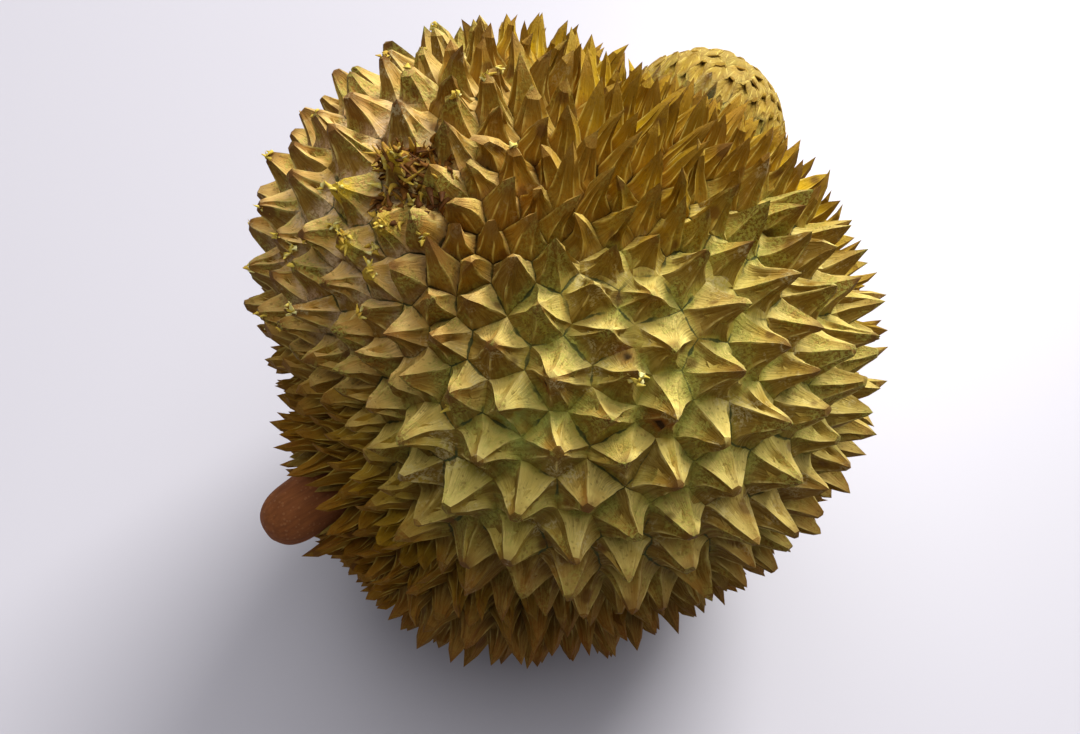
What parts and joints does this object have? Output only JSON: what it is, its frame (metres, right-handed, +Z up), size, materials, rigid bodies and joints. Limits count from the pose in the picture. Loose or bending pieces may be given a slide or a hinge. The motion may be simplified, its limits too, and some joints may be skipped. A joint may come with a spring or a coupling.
{
  "type": "whole durian fruit",
  "caption": "Whole durian lying on its side: a lobed fruit covered in hard pointed thorns, with a nub at its blossom end and a short cut stem.",
  "frame": {"origin": "centre of the bounding box's base, on the surface that the fruit rests on", "axes": "+Z up; the fruit's own axis lies along X, with the cut stem at -X and the blossom end at +X"},
  "size_m": [0.2326, 0.2146, 0.2239],
  "materials": {
    "rind": "matt fibrous rind, olive yellow to brown",
    "stem": "smooth matt bark, reddish brown"
  },
  "bodies": {
    "root": {"fruit": "rind", "stem": "stem"}
  },
  "joints": []
}
